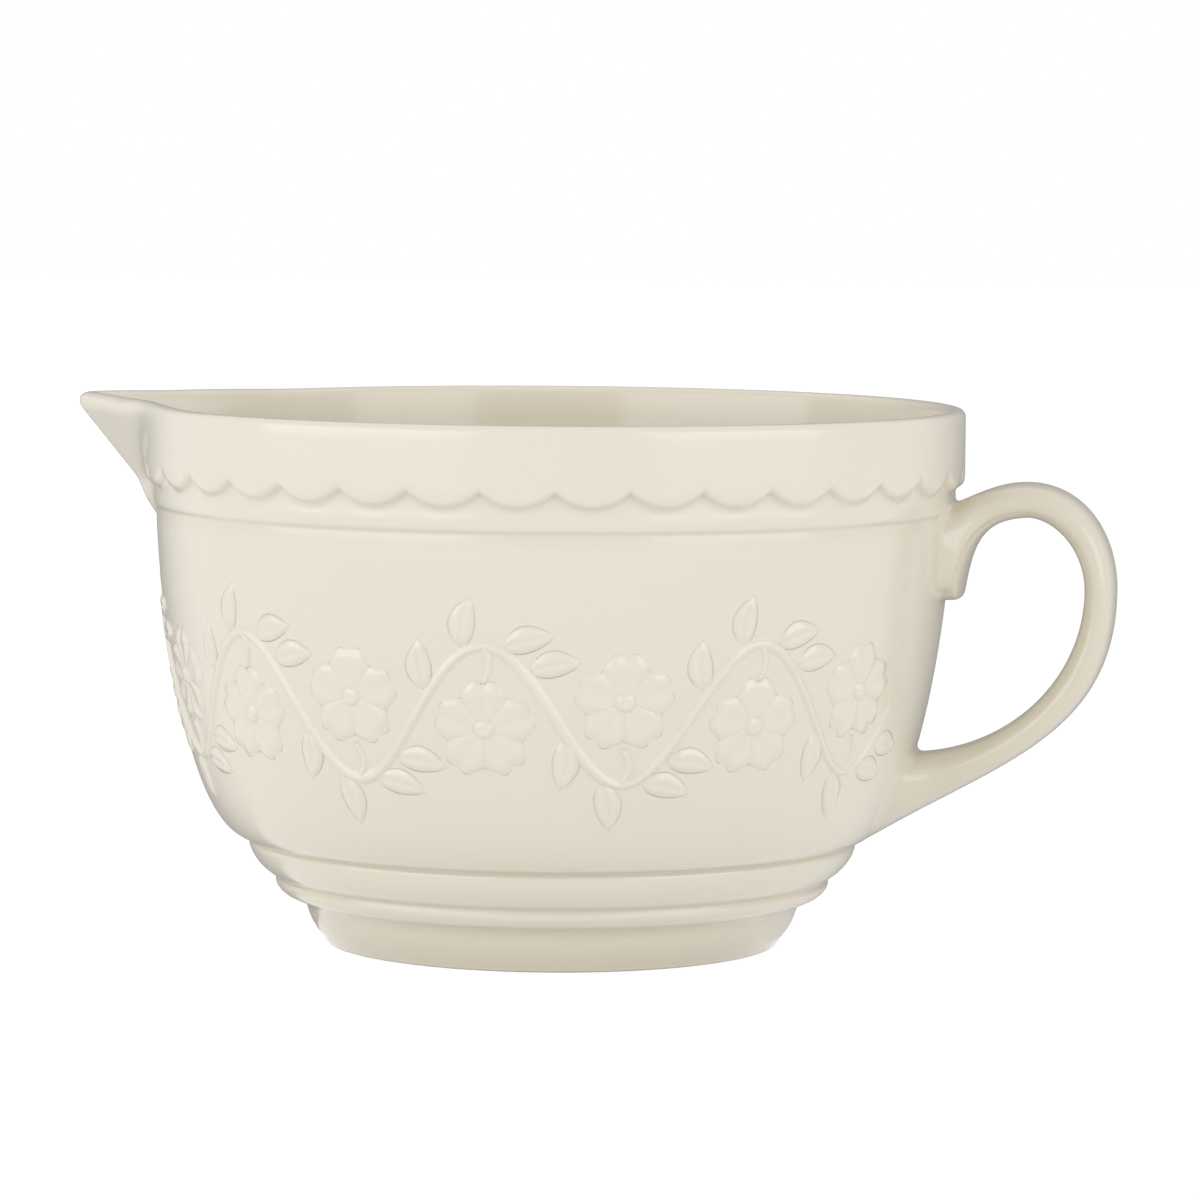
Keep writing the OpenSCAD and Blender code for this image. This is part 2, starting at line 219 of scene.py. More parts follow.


# Turned parts of the bowl's section, as (radius, height, shading) in millimetres. Shading is pooled
# glaze with painted shade: 0 is even, 1 is darkest in a hollow, and below 0 is lighter, as thin
# glaze with a painted highlight on an edge.
RECESS = (
    (0, 4.5, 0),
    (24, 4.5, 0),
    (42, 4.5, 0.1),
    (49.6, 4.45, 0.4),
    (51.0, 4.1, 0.8),
    (51.8, 3.0, 0.4),
    (52.7, 0.9, 0),
)
FOOT = (
    (53.1, 0.25, 0),
    (53.8, 0, 0),
    (57.3, 0, 0),
    (57.9, 0.12, 0),
    (58.3, 0.5, 0),
    (58.75, 1.2, 0.6),
    (59.6, 2.4, 0.6),
    (60.8, 4.0, 0.55),
    (61.9, 5.8, 0.5),
    (62.6, 7.4, 0.45),
    (63.05, 8.8, 0.4),
    (63.5, 10.0, 0.5),
    (64.2, 10.9, 0.6),
)
LOWER_MOULDING = (
    (65.3, 11.6, 0.7),
    (66.6, 12.1, 0.65),
    (67.9, 12.6, 0.4),
    (69.2, 13.2, 0.1),
    (70.2, 14.0, 0),
    (70.9, 14.9, 0),
    (71.2, 15.7, 0),
    (71.15, 16.3, 0.3),
    (70.8, 16.8, 0.6),
    (70.75, 17.15, 0.7),
)
UPPER_MOULDING = (
    (71.1, 17.5, 0.5),
    (71.9, 17.95, 0.3),
    (73.1, 18.7, 0),
    (74.4, 19.7, 0),
    (75.6, 20.9, 0),
    (76.6, 22.2, 0),
    (77.4, 23.6, 0),
    (77.95, 25.0, 0),
    (78.1, 26.0, 0),
    (77.9, 26.6, 0.1),
    (77.5, 27.0, 0.15),
    (77.35, 27.35, 0.15),
    (77.6, 27.65, 0.1),
)
STRIP = (
    (101.85, 111.7, 0.35),
    (101.8, 112.15, 0.65),
    (101.98, 112.5, 0.6),
    (102.3, 112.85, 0.3),
    (102.52, 113.4, 0),
    (102.68, 114.3, 0),
    (102.7, 115.5, 0),
)
# The band's lower edge and face, as (depth behind the face, height over the edge, shading, lobe).
# Shading is pooled glaze with painted shade under the lobes, and thin glaze with a painted
# highlight on their rounded edge where it is below 0.
# Lobe is the share of the scallops' cut that moves a point, from 1 at the edge to 0 on the face.
BAND_EDGE = (
    (2.32, -2.1, 0, 0.3),
    (2.38, -1.4, 0.1, 0.72),
    (2.36, -0.9, 0.25, 0.95),
    (2.2, -0.45, 0.35, 1),
    (1.88, -0.08, 0.3, 1),
    (1.44, 0.24, 0.1, 1),
    (1.0, 0.54, 0, 1),
    (0.62, 0.9, -0.15, 1),
    (0.33, 1.36, -0.25, 1),
    (0.14, 1.9, -0.2, 1),
    (0.04, 2.55, -0.1, 0.97),
    (0, 3.3, 0, 0.9),
    (0, 4.4, 0, 0.77),
    (0, 6.0, 0, 0.57),
    (0, 7.7, 0, 0.38),
    (0, 9.5, 0, 0.19),
    (0, 11.3, 0, 0.05),
    (0, 13.1, 0, 0),
    (0, 14.6, 0, 0),
    (0, 15.9, 0, 0),
)
ROUND_STEPS = 540
WALL_ROWS = 36
LIP_ROWS = 14
MOUTH_ROWS = 15
INSIDE_ROWS = 14
# The power that rounds the lip's section
LIP_POWER = 0.76
# Height at which the inside turns in to its floor, the floor's height, and the painted shade down
# there
BELLY_BEND = 48.9 * MM
FLOOR_HEIGHT = 11 * MM
INSIDE_SHADE = 0.2


class Profile:
    """Points of the bowl's section, with the pooled glaze and painted shade and what the band does
    at each.
    """

    MARKS = ("pool", "lobe", "lip", "inside")

    def __init__(self):
        self.points = []

    def add(self, radius, height, pool=0.0, lobe=0.0, lip=-1.0, inside=0.0):
        """One point, in metres; lip is its turn round the lip's section, or -1 off the lip."""
        self.points.append((radius, height, pool, lobe, lip, inside))

    def run(self, *points):
        """Several points given in millimetres as (radius, height, shading)."""
        for radius, height, pool in points:
            self.add(radius * MM, height * MM, pool)


def add_outside(p, sizes):
    """The section from the middle of the underside to the top of the band's face."""
    p.run(*RECESS, *FOOT, *LOWER_MOULDING, *UPPER_MOULDING)
    for i in range(WALL_ROWS):
        z = mix(WALL_FOOT[1], STRIP[0][1] * MM, (i / WALL_ROWS) ** 1.8)
        ledge = 0.5 * MM if i == 0 else 0
        p.add(wall_radius(z) + ledge, z)
    p.run(*STRIP)
    edge = sizes.rim_height - sizes.band_height
    for depth, rise, pool, lobe in BAND_EDGE:
        p.add(sizes.rim_radius - depth * MM, edge + rise * MM, pool, lobe)


def add_lip(p, sizes):
    """The rounded lip, over from the outside to the inside."""
    for i in range(LIP_ROWS + 1):
        turn = math.pi * i / LIP_ROWS
        # The lip's top is painted lighter: thin glaze with a painted highlight
        p.add(
            sizes.rim_radius - sizes.band + sizes.band * squared(math.cos(turn), LIP_POWER),
            sizes.rim_height - sizes.band + sizes.band * squared(math.sin(turn), LIP_POWER),
            pool=-0.2 * math.sin(turn),
            lip=turn,
        )


def add_inside(p, sizes):
    """The inside, with painted shade: darkest under the lip, and more even down to the floor."""
    lip_radius = sizes.rim_radius - 2 * sizes.band
    for i in range(1, MOUTH_ROWS + 1):
        t = i / MOUTH_ROWS
        radius = mix(lip_radius, WALL_TOP[0] - sizes.wall, t)
        z = mix(sizes.rim_height - sizes.band, WALL_TOP[1], t)
        p.add(radius, z, pool=min(3 * t, 0.8, 1.4 - 1.2 * t), inside=1)
    for i in range(1, INSIDE_ROWS + 1):
        z = mix(WALL_TOP[1], BELLY_BEND, i / INSIDE_ROWS)
        p.add(wall_radius(z) - sizes.wall, z, pool=INSIDE_SHADE, inside=1)
    radius = wall_radius(BELLY_BEND) - sizes.wall
    drop = (BELLY_BEND - FLOOR_HEIGHT) / 2
    turn_in = interpolate_bezier(
        Vector((radius, BELLY_BEND)),
        Vector((radius - drop * math.tan(wall_lean(BELLY_BEND)), BELLY_BEND - drop)),
        Vector((radius * 0.55, FLOOR_HEIGHT)),
        Vector((radius * 0.28, FLOOR_HEIGHT)),
        18,
    )
    for x, z in (*turn_in[1:], (radius * 0.14, FLOOR_HEIGHT), (0, FLOOR_HEIGHT)):
        p.add(x, z, pool=INSIDE_SHADE, inside=1)


def lobe_lift(sizes, turn):
    """How far the band's lower edge is cut away at a turn from the spout, where it is whole."""
    pitch = 2 * math.pi / sizes.lobes
    if abs(turn) < pitch / 2:
        return 0
    half = pitch / 2 * sizes.rim_radius
    off = abs(turn % pitch - pitch / 2) * sizes.rim_radius
    soft = 0.5 * MM
    off = max(half - math.hypot(half - off, soft), 0)
    radius = (half * half + sizes.lobe_depth**2) / (2 * sizes.lobe_depth)
    return radius - math.sqrt(max(radius * radius - off * off, 0))


# The spout's keel: where it leaves the wall, as (distance from the axis, height), how far out and
# up its belly goes from there, and the height below which it falls back from the tip, by a slope
KEEL_FOOT = (102.5 * MM, 105.5 * MM)
KEEL_BELLY = (7.1 * MM, 14 * MM)
KEEL_TOP = 136.2 * MM
KEEL_SLOPE = 0.835
# The spout's channel: its lower end, as (distance from the axis, height), and its height at the tip
CHANNEL_FOOT = (98 * MM, 114.7 * MM)
CHANNEL_TOP = 137.8 * MM
# How blunt the two are at their middle
KEEL_NOSE = 4.5 * MM
CHANNEL_NOSE = 3.5 * MM
# How widely the keel runs into the wall outside, and the channel inside
KEEL_BLEND = 3.5 * MM
CHANNEL_BLEND = 5 * MM
# The lip at the tip of the spout: half its thickness, and the power that rounds its section
TIP_ROLL = 1.5 * MM
TIP_POWER = 1.15
# Turns from the spout's middle: the ends of its shape and of its closer columns, and the stretches
# over which the lip rises along the flanks and then to the tip
SPOUT_SWEEP = math.radians(42)
SPOUT_CROWD = math.radians(40)
FLANK = (math.radians(40), math.radians(12))
POINT = (math.radians(12), math.radians(2))
# Heights from which the wall rises with the lip and is drawn out by the keel, the heights between
# which the crease beside the keel is darkened with painted shade, and how wide that painted shade
# lies
RISE_START = 124 * MM
KEEL_START = 95 * MM
CREASE_SHADE = (104 * MM, 110 * MM)
CREASE_SHADE_WIDTH = 1.5 * MM


def vee(reach, nose, angle, turn):
    """Distance from the axis to a level V that points along the spout, at a turn from it."""
    centre = reach - nose
    side = math.pi / 2 - angle
    if abs(turn) < math.atan2(nose * math.sin(side), centre + nose * math.cos(side)):
        return centre * math.cos(turn) + math.sqrt(nose**2 - (centre * math.sin(turn)) ** 2)
    apex = centre + nose / math.sin(angle)
    return apex * math.sin(angle) / math.sin(abs(turn) + angle)


def keel(sizes, z, turn):
    """Distance from the axis to the spout's outside at a height and a turn from its middle."""
    upper = sizes.spout_reach - max(KEEL_TOP - z, 0) * KEEL_SLOPE
    t = (z - KEEL_FOOT[1]) / KEEL_BELLY[1]
    rise = 1 - (1 - min(t, 1)) ** 1.9 if t > 0 else 1.9 * t
    reach = soft_max(KEEL_FOOT[0] + KEEL_BELLY[0] * rise, upper, 1.5 * MM)
    return vee(reach, KEEL_NOSE, sizes.spout_angle, turn)


def channel(sizes, z, turn):
    """Distance from the axis to the spout's channel at a height and a turn from its middle."""
    tip = sizes.spout_reach - sizes.spout_wall / math.sin(sizes.spout_angle)
    slope = (tip - CHANNEL_FOOT[0]) / (CHANNEL_TOP - CHANNEL_FOOT[1])
    reach = CHANNEL_FOOT[0] + (z - CHANNEL_FOOT[1]) * slope
    return vee(reach, CHANNEL_NOSE, sizes.spout_angle, turn)


def spout_lip(sizes, turn):
    """Outer and inner edge, crest and half thickness of the lip at a turn from the spout."""
    flank, point = (smooth_step(*limits, abs(turn)) for limits in (FLANK, POINT))
    crest = sizes.rim_height + sizes.lip_rise * mix(0.7 * flank, 1, point)
    roll = sizes.band
    for _ in range(3):
        level = crest - roll
        outer = soft_max(sizes.rim_radius, keel(sizes, level, turn), KEEL_BLEND)
        inner = sizes.rim_radius - 2 * sizes.band
        inner = soft_max(inner, channel(sizes, level, turn), CHANNEL_BLEND)
        roll = mix(sizes.band, TIP_ROLL, smooth_step(0, 12 * MM, outer - sizes.rim_radius))
    return outer, inner, crest, roll


def drawn_lip(sizes, turn, around, pool):
    """Radius, height and shading of a point of the lip, by its turn round the lip's section."""
    outer, inner, crest, roll = spout_lip(sizes, turn)
    drawn = smooth_step(0, 8 * MM, outer - sizes.rim_radius)
    power = mix(LIP_POWER, TIP_POWER, drawn)
    radius = (outer + inner) / 2 + (outer - inner) / 2 * squared(math.cos(around), power)
    z = crest - roll + roll * squared(math.sin(around), power)
    # The spout's lip is painted darker on its top, as painted shade
    return radius, z, pool + 0.6 * drawn * math.sin(around)


def drawn_wall(sizes, turn, radius, z, pool, inside):
    """Radius, height and shading of a point of the wall or the band, where the spout draws it, with
    painted shade in the crease beside the keel.
    """
    _, _, crest, roll = spout_lip(sizes, turn)
    level = sizes.rim_height - sizes.band
    z += (crest - roll - level) * smooth_step(RISE_START, level, z)
    if inside:
        return soft_max(radius, channel(sizes, z, turn), CHANNEL_BLEND), z, pool
    if z <= KEEL_START:
        return radius, z, pool
    prow = keel(sizes, z, turn)
    # Painted shade in the crease where the keel leaves the wall
    crease = 0.9 * hump(radius - prow, CREASE_SHADE_WIDTH) * smooth_step(*CREASE_SHADE, z)
    return soft_max(radius, prow, KEEL_BLEND), z, max(pool, crease)


def crowd(turn):
    """Draws the mesh's columns together at the middle of the spout and at its creases."""
    if abs(turn) >= SPOUT_CROWD:
        return turn
    wave = 4 * math.pi / SPOUT_CROWD
    return turn - 0.4 / wave * math.sin(wave * turn)


def shape_bowl(bm, sizes):
    """Cuts the lobes into the band and draws the spout out of the rim and the wall."""
    layers = [bm.verts.layers.float[name] for name in Profile.MARKS]
    for v in bm.verts:
        radius = math.hypot(v.co.x, v.co.y)
        if radius < 1 * MM:
            continue
        turn = crowd(math.atan2(-v.co.y, -v.co.x))
        pool, lobe, lip, inside = (v[layer] for layer in layers)
        z = v.co.z + lobe * lobe_lift(sizes, turn)
        if abs(turn) < SPOUT_SWEEP and lip >= 0:
            radius, z, pool = drawn_lip(sizes, turn, lip, pool)
        elif abs(turn) < SPOUT_SWEEP:
            radius, z, pool = drawn_wall(sizes, turn, radius, z, pool, inside)
        v[layers[0]] = pool
        v.co = (-radius * math.cos(turn), -radius * math.sin(turn), z)


def new_object(bm, name, material):
    """Puts a mesh into the scene under a name, in one material."""
    mesh = bpy.data.meshes.new(name)
    bm.to_mesh(mesh)
    bm.free()
    mesh.materials.append(material)
    made = bpy.data.objects.new(name, mesh)
    bpy.context.scene.collection.objects.link(made)
    return made


def finished(bm, name, material, *nodes):
    """Puts a mesh into the scene as a smooth piece that stands for CAD nodes."""
    bmesh.ops.recalc_face_normals(bm, faces=bm.faces[:])
    for face in bm.faces:
        face.smooth = True
    piece = new_object(bm, name, material)
    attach(piece, "root")
    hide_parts(*nodes)
    return piece


def capped(bm):
    """Closes the open ends of a mesh."""
    bmesh.ops.holes_fill(bm, edges=bm.edges[:], sides=0)
    return bm


def build_bowl(settings):
    """The bowl with its band and spout, spun from one section."""
    profile = Profile()
    for add in (add_outside, add_lip, add_inside):
        add(profile, settings.bowl)
    bm = bmesh.new()
    layers = [bm.verts.layers.float.new(name) for name in Profile.MARKS]
    last = None
    for radius, height, *marks in profile.points:
        vert = bm.verts.new((radius, 0, height))
        for layer, mark in zip(layers, marks):
            vert[layer] = mark
        if last:
            bm.edges.new((last, vert))
        last = vert
    bmesh.ops.spin(
        bm,
        geom=bm.verts[:] + bm.edges[:],
        cent=(0, 0, 0),
        axis=(0, 0, 1),
        angle=2 * math.pi,
        steps=ROUND_STEPS,
        use_merge=True,
    )
    bmesh.ops.remove_doubles(bm, verts=bm.verts[:], dist=1e-6)
    shape_bowl(bm, settings.bowl)
    piece = finished(
        bm, "glazed_bowl", glaze(settings.glaze), "bowl_body", "scalloped_band", "spout"
    )


def loft(bm, rings):
    """Extrudes a circle through rings of points and returns its rings of vertices."""
    made = bmesh.ops.create_circle(bm, segments=len(rings[0]), radius=1 * MM)["verts"]
    edges = list({edge for vert in made for edge in vert.link_edges})
    drawn = []
    for points in rings:
        if drawn:
            grown = bmesh.ops.extrude_edge_only(bm, edges=edges)["geom"]
            made = [g for g in grown if isinstance(g, bmesh.types.BMVert)]
            edges = [g for g in grown if isinstance(g, bmesh.types.BMEdge)]
        for vert, point in zip(made, points):
            vert.co = point
        drawn.append(made)
    return drawn


RAIL_STEPS = 36
STRAP_COLUMNS = 56
STRAP_ROWS = 120
FILLET_ROWS = 9
# The power that rounds the strap's section, and the painted shade over the whole strap
STRAP_POWER = 0.8
STRAP_SHADE = 0.65
# Radius of the fillet at each end: on the strap's outer face, its inner face and its sides
UPPER_FILLET = (1.8 * MM, 1.0 * MM, 4.2 * MM)
LOWER_FILLET = (0.7 * MM, 2.2 * MM, 4.2 * MM)


def rail(start, *stretches):
    """A smooth line from a start through Bezier stretches, each given as (lead, lead, end)."""
    line = []
    for stretch in stretches:
        a, b, c, d = (Vector(point) * MM for point in (start, *stretch))
        line += interpolate_bezier(a, b, c, d, RAIL_STEPS)[(1 if line else 0) :]
        start = stretch[-1]
    return line


def strap_rails(sizes):
    """Outer and inner edge of the strap from its upper end down, as (radius, height)."""
    reach, top = sizes.reach / MM, sizes.top / MM
    grip = reach - sizes.strap / MM
    outer = rail(
        (96.5, 113.0),
        ((97.5, 113.3), (98.6, 113.5), (99.4, 113.7)),
        ((107.4, 116.2), (112.7, top), (121.5, top)),
        ((136.0, top), (reach, 107.4), (reach, 93.2)),
        ((reach, 56.6), (116.4, 49.8), (82.3, 29.1)),
        ((81.6, 28.7), (80.8, 29.0), (79.5, 30.5)),
    )
    inner = rail(
        (98.0, 90.4),
        ((104.4, 90.1), (105.3, 90.4), (105.6, 92.4)),
        ((107.5, 104.4), (110.2, top - 9.6), (121.5, top - 8.9)),
        ((127.8, top - 8.5), (grip, 104.4), (grip, 93.2)),
        ((grip, 71.7), (117.9, 50.9), (90.0, 50.9)),
        ((88.6, 50.9), (87.3, 50.9), (86.0, 50.9)),
    )
    return outer, inner


def strap_ring(sizes, outer, inner):
    """Oval section of the strap between its two rails, widening towards the wall."""
    middle, half = (outer + inner) / 2, (outer - inner) / 2
    near = min(max(1 - (middle.x - wall_radius(middle.y)) / (sizes.root_width / 3), 0), 1)
    wide = mix(sizes.width, sizes.root_width, near * near) / 2
    ring = []
    for k in range(STRAP_COLUMNS):
        turn = 2 * math.pi * k / STRAP_COLUMNS
        along, across = (squared(f(turn), STRAP_POWER) for f in (math.cos, math.sin))
        ring.append(Vector((middle.x + half.x * along, wide * across, middle.y + half.y * along)))
    return ring


def crossing(column, rise):
    """Where a line of points first stands off the wall by a height, as a place in the list."""
    last = -1
    for index, spot in enumerate(column):
        gap = math.hypot(spot.x, spot.y) - skin_radius(spot.z) - rise
        if gap >= 0 and index:
            return index - gap / (gap - last)
        last = gap
    raise ValueError("the handle doesn't reach the wall")


def at_place(column, place):
    """The point of a line at a place between two of its points."""
    index = min(int(place), len(column) - 2)
    return column[index].lerp(column[index + 1], place - index)


def fillet_radii(outer, inner, side):
    """The fillet's radius for each column of the strap."""
    radii = []
    for k in range(STRAP_COLUMNS):
        turn = 2 * math.pi * k / STRAP_COLUMNS
        face = outer if math.cos(turn) > 0 else inner
        radii.append(mix(face, side, abs(math.sin(turn)) ** 1.5))
    return radii


def wall_fillet(columns, radii):
    """Rows of points from the wall up a fillet to the strap, and where each column leaves it."""
    feet = [at_place(column, crossing(column, 0)) for column in columns]
    flat = [(math.atan2(foot.y, foot.x) * math.hypot(foot.x, foot.y), foot.z) for foot in feet]
    middle = [sum(spot[i] for spot in flat) / len(flat) for i in (0, 1)]
    reach = [max(abs(spot[i] - middle[i]) for spot in flat) for i in (0, 1)]
    rows, places = [[] for _ in range(FILLET_ROWS)], []
    for column, foot, spot, radius in zip(columns, feet, flat, radii):
        away = Vector([(spot[i] - middle[i]) / reach[i] ** 2 for i in (0, 1)]).normalized()
        z = foot.z + away.y * radius * math.cos(wall_lean(foot.z))
        wall = skin_radius(z) - 0.05 * MM
        angle = math.atan2(foot.y, foot.x) + away.x * radius / wall
        landing = Vector((wall * math.cos(angle), wall * math.sin(angle), z))
        place = crossing(column, radius)
        top = at_place(column, place)
        for step, row in enumerate(rows):
            t = step / FILLET_ROWS
            row.append(landing.lerp(foot, t).lerp(foot.lerp(top, t), t))
        places.append(place)
    # One more row, tucked into the wall, so that the fillet's edge never stands off it
    tuck = [spot - Vector((spot.x, spot.y, 0)).normalized() * 1.2 * MM for spot in rows[0]]
    return [tuck, *rows], places


def build_handle(settings):
    """The strap handle: one oval section along two rails, with a fillet round each end."""
    bm = bmesh.new()
    pool = bm.verts.layers.float.new("pool")
    rings = [strap_ring(settings.handle, o, i) for o, i in zip(*strap_rails(settings.handle))]
    columns = list(zip(*rings))
    last = len(rings) - 1
    start_rows, starts = wall_fillet(columns, fillet_radii(*UPPER_FILLET))
    end_rows, ends = wall_fillet([c[::-1] for c in columns], fillet_radii(*LOWER_FILLET))
    middle_rows = []
    for row in range(STRAP_ROWS + 1):
        t = row / STRAP_ROWS
        places = [mix(start, last - end, t) for start, end in zip(starts, ends)]
        middle_rows.append([at_place(column, place) for column, place in zip(columns, places)])
    drawn = loft(bm, [*start_rows, *middle_rows, *end_rows[::-1]])
    # Painted shade: darkest in the fillets where the strap meets the wall, and even over the strap
    for index, verts in enumerate(drawn):
        from_end = min(index, len(drawn) - 1 - index) - 1
        foot = min(max(from_end, 0) / FILLET_ROWS, 1)
        for vert in verts:
            vert[pool] = 1.4 * foot * (1 - foot) + STRAP_SHADE * foot
    piece = finished(capped(bm), "strap_handle", glaze(settings.glaze), "handle")


# How deep the edges of the relief are sunk into the wall, and the closed foot of the stem
SKIRT = 0.05 * MM
STEM_ROOT = 0.5 * MM
# How far a blossom lies from the crest or trough that carries it, in rises of the wave
BLOSSOM_DROP = 1.2
STEM_STEPS = 56
STALK_STEPS = 8
PETALS = 5


def on_wall(place, u, v, raise_by):
    """A point of the relief, u and v along the wall from a place and a height above it."""
    angle, height = place
    z = height + v * math.cos(wall_lean(height))
    lean = wall_lean(z)
    angle += u / wall_radius(z)
    radius = wall_radius(z) + raise_by * math.cos(lean)
    z -= raise_by * math.sin(lean)
    return Vector((radius * math.cos(angle), radius * math.sin(angle), z))


class Vine:
    """The wave that the stem follows round the wall."""

    def __init__(self, sizes):
        self.sizes = sizes
        self.start = math.asin(sizes.plain / wall_radius(sizes.height))
        self.wave = (2 * math.pi - 2 * self.start) / sizes.waves
        self.reach = self.wave * wall_radius(sizes.height)

    def place(self, t):
        """Angle and height of the stem, t waves from its start."""
        return (
            self.start + self.wave * t,
            self.sizes.height + self.sizes.rise * math.sin(2 * math.pi * t),
        )

    def turn(self, t):
        """Angle of the stem from level, t waves from its start."""
        return math.atan2(2 * math.pi * self.sizes.rise * math.cos(2 * math.pi * t), self.reach)

    def tops(self):
        """Each trough and crest, as its place and the way to its blossom: 1 down, -1 up."""
        for wave in range(self.sizes.waves):
            for side in (-1, 1):
                yield self.place(wave + 0.5 - side / 4), side


def glaze_and_shade_on_motif(rim, hollow=0.0):
    """Shading of a raised motif: lighter on its top, as thin glaze with a painted highlight, and
    darker round its foot, as pooled glaze with painted shade.
    """
    return 0.15 * hump(rim - 0.25, 0.18) - 0.25 * rim * rim * (1 - hollow)


def draw_stem(bm, pool, spots, widths, relief):
    """A soft ridge on the wall through spots [(place, turn), ...] with a half width at each."""
    over = 12
    ridge = [(x, (1 - x * x) ** 2) for x in (2 * i / over - 1 for i in range(over + 1))]
    rings = []
    for (place, turn), width in zip(spots, widths):
        tall = min(relief, width * 0.85)
        section = [(x, tall * rise - SKIRT) for x, rise in ridge]
        section += [(0.8, -STEM_ROOT), (-0.8, -STEM_ROOT)]
        ring = []
        for x, up in section:
            across = 1.5 * width * x
            ring.append(on_wall(place, -across * math.sin(turn), across * math.cos(turn), up))
        rings.append(ring)
    for verts in loft(bm, rings):
        for vert, (_, rise) in zip(verts, ridge):
            vert[pool] = glaze_and_shade_on_motif(rise)


def stalk(sizes, place, side):
    """Spots and half widths of the stalk from the stem to a blossom, bent a little."""
    angle, height = place
    reach = BLOSSOM_DROP * sizes.rise - sizes.blossom * 0.9
    spots, widths = [], []
    for k in range(STALK_STEPS + 1):
        s = k / STALK_STEPS
        bend = 1.6 * MM * math.sin(math.pi * s) / wall_radius(height)
        spots.append(((angle + bend, height - side * reach * s), -side * math.pi / 2))
        widths.append(sizes.stem * mix(0.4, 0.3, s))
    return spots, widths


def build_stem(settings):
    """The running stem, with a stalk to each blossom."""
    sizes = settings.vine
    vine = Vine(sizes)
    bm = bmesh.new()
    pool = bm.verts.layers.float.new("pool")
    steps = STEM_STEPS * sizes.waves
    spots, widths = [], []
    for i in range(steps + 1):
        t = i * sizes.waves / steps
        spots.append((vine.place(t), vine.turn(t)))
        taper = min(1, 0.15 + min(i, steps - i) / 24)
        widths.append(sizes.stem / 2 * taper * (1 + 0.12 * math.sin(9.0 * t)))
    draw_stem(bm, pool, spots, widths, sizes.relief)
    for place, side in vine.tops():
        draw_stem(bm, pool, *stalk(sizes, place, side), sizes.relief * 0.8)
    piece = finished(capped(bm), "vine_stems", glaze(settings.glaze), "vine_stem")


def sprig(bm, pool, place, turn, segments, shape):
    """A raised motif: a grid bent to the wall.

    shape gives u, v, height and shading for s from 0 to 1 along the motif and t from -1 to 1 over
    it.
    """
    made = bmesh.ops.create_grid(bm, x_segments=segments[0], y_segments=segments[1], size=1)
    for vert in made["verts"]:
        u, v, up, thick = shape((vert.co.x + 1) / 2, vert.co.y)
        vert.co = on_wall(
            place,
            u * math.cos(turn) - v * math.sin(turn),
            u * math.sin(turn) + v * math.cos(turn),
            up,
        )
        # thick carries the motif's glaze with its painted shade and highlight
        vert[pool] = thick


def leaf_shape(sizes):
    """Shape of a leaf with a sunk midrib and side veins."""

    def shape(s, t):
        base = 1.6 * MM
        bulge = math.sin(math.pi * s**0.85) ** 0.8 if 0 < s < 1 else 0
        wide = sizes.leaf_width * 0.6 * bulge
        rim = smooth_step(0, 0.6, 1 - abs(t))
        rim *= smooth_step(0, 0.22, s) * smooth_step(0, 0.2, 1 - s)
        rib = hump(t, 0.17) * smooth_step(0.95, 0.6, s)
        veins = 0.035 * math.sin(30 * (s - 0.25 * abs(t))) * (1 - abs(t))
        up = sizes.relief * rim * (1 - 0.4 * rib + veins) - SKIRT
        bend = 0.9 * MM * math.sin(math.pi * s)
        return base + s * (sizes.leaf + 1 * MM), t * wide + bend, up, glaze_and_shade_on_motif(rim, rib)

    return shape


# Leaves of one wave: waves from its start, side of the stem, degrees from the stem
LEAF_PLACES = (
    (0.04, 1, 38),
    (0.17, 1, 42),
    (0.30, 1, 40),
    (0.39, 1, 60),
    (0.54, -1, 38),
    (0.67, -1, 42),
    (0.80, -1, 40),
    (0.89, -1, 60),
)


def build_leaves(settings):
    """The leaves on the outer side of every wave."""
    vine = Vine(settings.vine)
    bm = bmesh.new()
    pool = bm.verts.layers.float.new("pool")
    shape = leaf_shape(settings.vine)
    for wave in range(settings.vine.waves):
        for t, side, angle in LEAF_PLACES:
            turn = vine.turn(t) + side * math.radians(angle)
            sprig(bm, pool, vine.place(wave + t), turn, (18, 10), shape)
    bmesh.ops.remove_doubles(bm, verts=bm.verts[:], dist=1e-6)
    piece = finished(capped(bm), "vine_foliage", glaze(settings.glaze), "vine_leaves")


def petal_shape(sizes):
    """Shape of a petal, scooped between raised edges, with a dip at its tip."""

    def shape(s, t):
        tip = 1.04 - 0.3 * abs(t) ** 3 - 0.08 * hump(t, 0.28)
        wide = sizes.blossom * 0.49 * mix(0.3, 1, math.sin(math.pi / 2 * min(s / 0.72, 1)))
        wide *= 1 - 0.14 * smooth_step(0.72, 1, s)
        rim = smooth_step(0, 0.5, 1 - abs(t)) * smooth_step(0, 0.3, 1 - s)
        rim *= smooth_step(0, 0.12, s)
        scoop = 0.6 + 0.4 * smooth_step(0, 0.62, abs(t)) * smooth_step(0.1, 0.6, s)
        scoop += 0.22 * smooth_step(0.45, 0.85, s)
        crease = 0.12 * hump(t, 0.13) * smooth_step(1, 0.5, s)
        up = sizes.relief * rim * (scoop - crease) - SKIRT
        reach = mix(sizes.blossom * 0.1, sizes.blossom * tip, s)
        return reach, t * wide, up, glaze_and_shade_on_motif(rim, 4 * crease)

    return shape


def eye_shape(sizes):
    """Shape of the round eye of a blossom."""
    radius = sizes.blossom * 0.24

    def shape(s, t):
        x, y = 2 * s - 1, t
        far = max(abs(x), abs(y))
        spread = far / math.hypot(x, y) if far else 1
        rim = (1 - far * far) ** 2 * (3 - 2 * (1 - far * far) ** 2)
        up = sizes.relief * 1.25 * rim - SKIRT
        return x * spread * radius, y * spread * radius, up, glaze_and_shade_on_motif(rim)

    return shape


